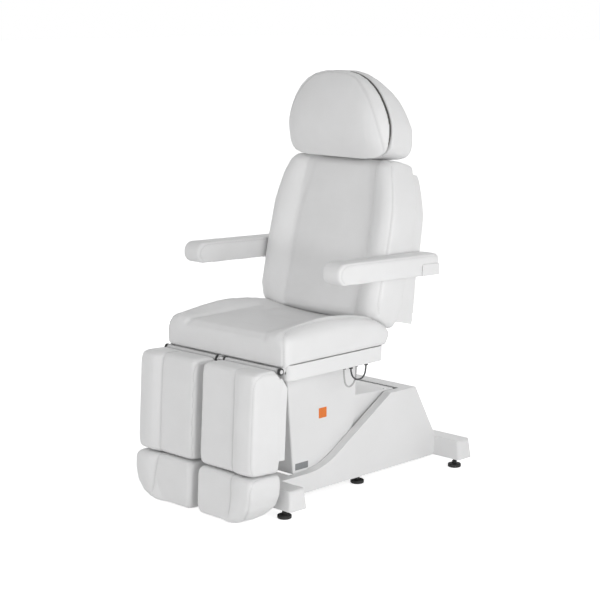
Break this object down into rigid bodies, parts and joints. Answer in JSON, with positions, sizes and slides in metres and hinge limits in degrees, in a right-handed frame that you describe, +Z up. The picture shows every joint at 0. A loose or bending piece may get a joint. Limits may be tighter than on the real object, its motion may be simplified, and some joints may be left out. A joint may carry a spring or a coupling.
{
  "type": "podiatry treatment chair",
  "caption": "Powered podiatry chair: low base with lift arm, tilting seat, reclining winged back, headrest, folding armrests and split leg rests with sliding foot sections.",
  "frame": {"origin": "on the floor, under the middle of the chair's outer box", "axes": "X across the chair with its left side at +X, the chair faces -Y, Z up"},
  "size_m": [0.78, 1.1434, 1.4872],
  "materials": {
    "white_leatherette": "soft satin",
    "white_moulding": "semi-gloss",
    "coated_steel": "satin",
    "bright_steel": "satin",
    "black_plastic": "matte",
    "grey_plastic": "matte",
    "board": "dark stained",
    "foot_rubber": "matte"
  },
  "bodies": {
    "base": {"base_frame": "coated_steel", "base_cover": "white_moulding", "mains_inlet": "black_plastic", "control_box": "grey_plastic", "rear_pivot_pins": "bright_steel"},
    "upper_arm": {"upper_lift_arm": "coated_steel", "lift_arm_cover": "white_moulding", "arm_lug_pin": "bright_steel"},
    "lower_link": {"lower_lift_links": "coated_steel"},
    "lift_motor_body": {"lift_motor": "grey_plastic"},
    "lift_rod_body": {"lift_rod": "bright_steel"},
    "carrier": {"carrier_frame": "coated_steel", "lift_shroud": "white_moulding", "front_pivot_pins": "bright_steel", "tilt_motor": "grey_plastic", "tilt_pivot_pins": "bright_steel"},
    "tilt_rod_body": {"tilt_rod": "bright_steel"},
    "seat": {"seat_frame": "coated_steel", "seat_tray": "white_moulding", "seat_cushion": "white_leatherette", "back_hinge_pins": "bright_steel", "leg_hinge_rod": "bright_steel", "leg_ratchets": "black_plastic", "recline_motor": "grey_plastic", "cable_grommets": "black_plastic", "motor_cable": "black_plastic", "handset_cable": "grey_plastic"},
    "recline_rod_body": {"recline_rod": "bright_steel"},
    "backrest": {"backrest_frame": "coated_steel", "backrest_cushion": "white_leatherette", "backrest_shell": "white_moulding", "headrest_guides": "bright_steel", "armrest_pivots": "bright_steel"},
    "headrest_posts": {"headrest_bars": "bright_steel"},
    "headrest": {"headrest_plate": "board", "headrest_front_pad": "white_leatherette", "headrest_rear_pad": "white_leatherette"},
    "armrest_left": {"armrest_core_left": "white_moulding", "armrest_pad_left": "white_leatherette"},
    "leg_rest_left": {"leg_frame_left": "coated_steel", "leg_shell_left": "white_moulding", "leg_cushion_left": "white_leatherette"},
    "foot_section_left": {"foot_bars_left": "bright_steel", "foot_cushion_left": "white_leatherette"},
    "armrest_right": {"armrest_core_right": "white_moulding", "armrest_pad_right": "white_leatherette"},
    "leg_rest_right": {"leg_frame_right": "coated_steel", "leg_shell_right": "white_moulding", "leg_cushion_right": "white_leatherette"},
    "foot_section_right": {"foot_bars_right": "bright_steel", "foot_cushion_right": "white_leatherette"},
    "foot_screw_front_left": {"levelling_foot_front_left": "foot_rubber"},
    "foot_screw_front_right": {"levelling_foot_front_right": "foot_rubber"},
    "foot_screw_middle_left": {"levelling_foot_middle_left": "foot_rubber"},
    "foot_screw_middle_right": {"levelling_foot_middle_right": "foot_rubber"},
    "foot_screw_rear_left": {"levelling_foot_rear_left": "foot_rubber"},
    "foot_screw_rear_right": {"levelling_foot_rear_right": "foot_rubber"}
  },
  "joints": [
    {"name": "lift", "type": "hinge", "parent": "base", "child": "upper_arm", "pos_m": [0, 0.296, 0.29], "axis": [-1, 0, 0], "range_deg": [0, 40]},
    {"name": "arm_to_carrier", "type": "hinge", "parent": "upper_arm", "child": "carrier", "pos_m": [0, -0.184, 0.29], "axis": [-1, 0, 0], "range_deg": [-40.5, 0.5]},
    {"name": "lower_links", "type": "hinge", "parent": "base", "child": "lower_link", "pos_m": [0, 0.296, 0.2], "axis": [-1, 0, 0], "range_deg": [-0.5, 40.5]},
    {"name": "lift_motor_pin", "type": "hinge", "parent": "base", "child": "lift_motor_body", "pos_m": [0, 0.25, 0.084], "axis": [-1, 0, 0], "range_deg": [-0.5, 25.7]},
    {"name": "lift_spindle", "type": "slide", "parent": "lift_motor_body", "child": "lift_rod_body", "axis": [0, -0.8174, 0.5761], "range_m": [-0.001, 0.1235]},
    {"name": "seat_tilt", "type": "hinge", "parent": "carrier", "child": "seat", "pos_m": [0, 0.036, 0.446], "axis": [-1, 0, 0], "range_deg": [0, 12]},
    {"name": "tilt_spindle", "type": "slide", "parent": "carrier", "child": "tilt_rod_body", "axis": [0, -1, 0], "range_m": [-0.0005, 0.0135]},
    {"name": "recline", "type": "hinge", "parent": "seat", "child": "backrest", "pos_m": [0, 0.156, 0.56], "axis": [-1, 0, 0], "range_deg": [0, 75]},
    {"name": "recline_spindle", "type": "slide", "parent": "seat", "child": "recline_rod_body", "axis": [0, -1, 0], "range_m": [-0.001, 0.1085]},
    {"name": "headrest_height", "type": "slide", "parent": "backrest", "child": "headrest_posts", "axis": [0, 0.23, 0.9732], "range_m": [0, 0.12]},
    {"name": "headrest_tilt", "type": "hinge", "parent": "headrest_posts", "child": "headrest", "pos_m": [0, 0.256, 1.202], "axis": [-1, 0, 0], "range_deg": [-6, 20]},
    {"name": "armrest_fold_left", "type": "hinge", "parent": "backrest", "child": "armrest_left", "pos_m": [0, 0.236, 0.802], "axis": [-1, 0, 0], "range_deg": [0, 95]},
    {"name": "leg_rest_left", "type": "hinge", "parent": "seat", "child": "leg_rest_left", "pos_m": [0, -0.41, 0.522], "axis": [-1, 0, 0], "range_deg": [0, 86]},
    {"name": "foot_slide_left", "type": "slide", "parent": "leg_rest_left", "child": "foot_section_left", "axis": [0, -0.0576, -0.9983], "range_m": [0, 0.15]},
    {"name": "armrest_fold_right", "type": "hinge", "parent": "backrest", "child": "armrest_right", "pos_m": [0, 0.236, 0.802], "axis": [-1, 0, 0], "range_deg": [0, 95]},
    {"name": "leg_rest_right", "type": "hinge", "parent": "seat", "child": "leg_rest_right", "pos_m": [0, -0.41, 0.522], "axis": [-1, 0, 0], "range_deg": [0, 86]},
    {"name": "foot_slide_right", "type": "slide", "parent": "leg_rest_right", "child": "foot_section_right", "axis": [0, -0.0576, -0.9983], "range_m": [0, 0.15]},
    {"name": "foot_screw_front_left", "type": "slide", "parent": "base", "child": "foot_screw_front_left", "axis": [0, 0, -1], "range_m": [0, 0.012]},
    {"name": "foot_screw_front_right", "type": "slide", "parent": "base", "child": "foot_screw_front_right", "axis": [0, 0, -1], "range_m": [0, 0.012]},
    {"name": "foot_screw_middle_left", "type": "slide", "parent": "base", "child": "foot_screw_middle_left", "axis": [0, 0, -1], "range_m": [0, 0.012]},
    {"name": "foot_screw_middle_right", "type": "slide", "parent": "base", "child": "foot_screw_middle_right", "axis": [0, 0, -1], "range_m": [0, 0.012]},
    {"name": "foot_screw_rear_left", "type": "slide", "parent": "base", "child": "foot_screw_rear_left", "axis": [0, 0, -1], "range_m": [0, 0.012]},
    {"name": "foot_screw_rear_right", "type": "slide", "parent": "base", "child": "foot_screw_rear_right", "axis": [0, 0, -1], "range_m": [0, 0.012]}
  ],
  "couplings": [
    {"joint": "arm_to_carrier", "follows": "lift", "ratio": -1},
    {"joint": "lower_links", "follows": "lift", "ratio": 1},
    {"joint": "lift_motor_pin", "follows": "lift", "ratio": 0.63},
    {"joint": "lift_spindle", "follows": "lift", "m_per_rad": 0.1754},
    {"joint": "tilt_spindle", "follows": "seat_tilt", "m_per_rad": 0.062},
    {"joint": "recline_spindle", "follows": "recline", "m_per_rad": 0.082}
  ]
}
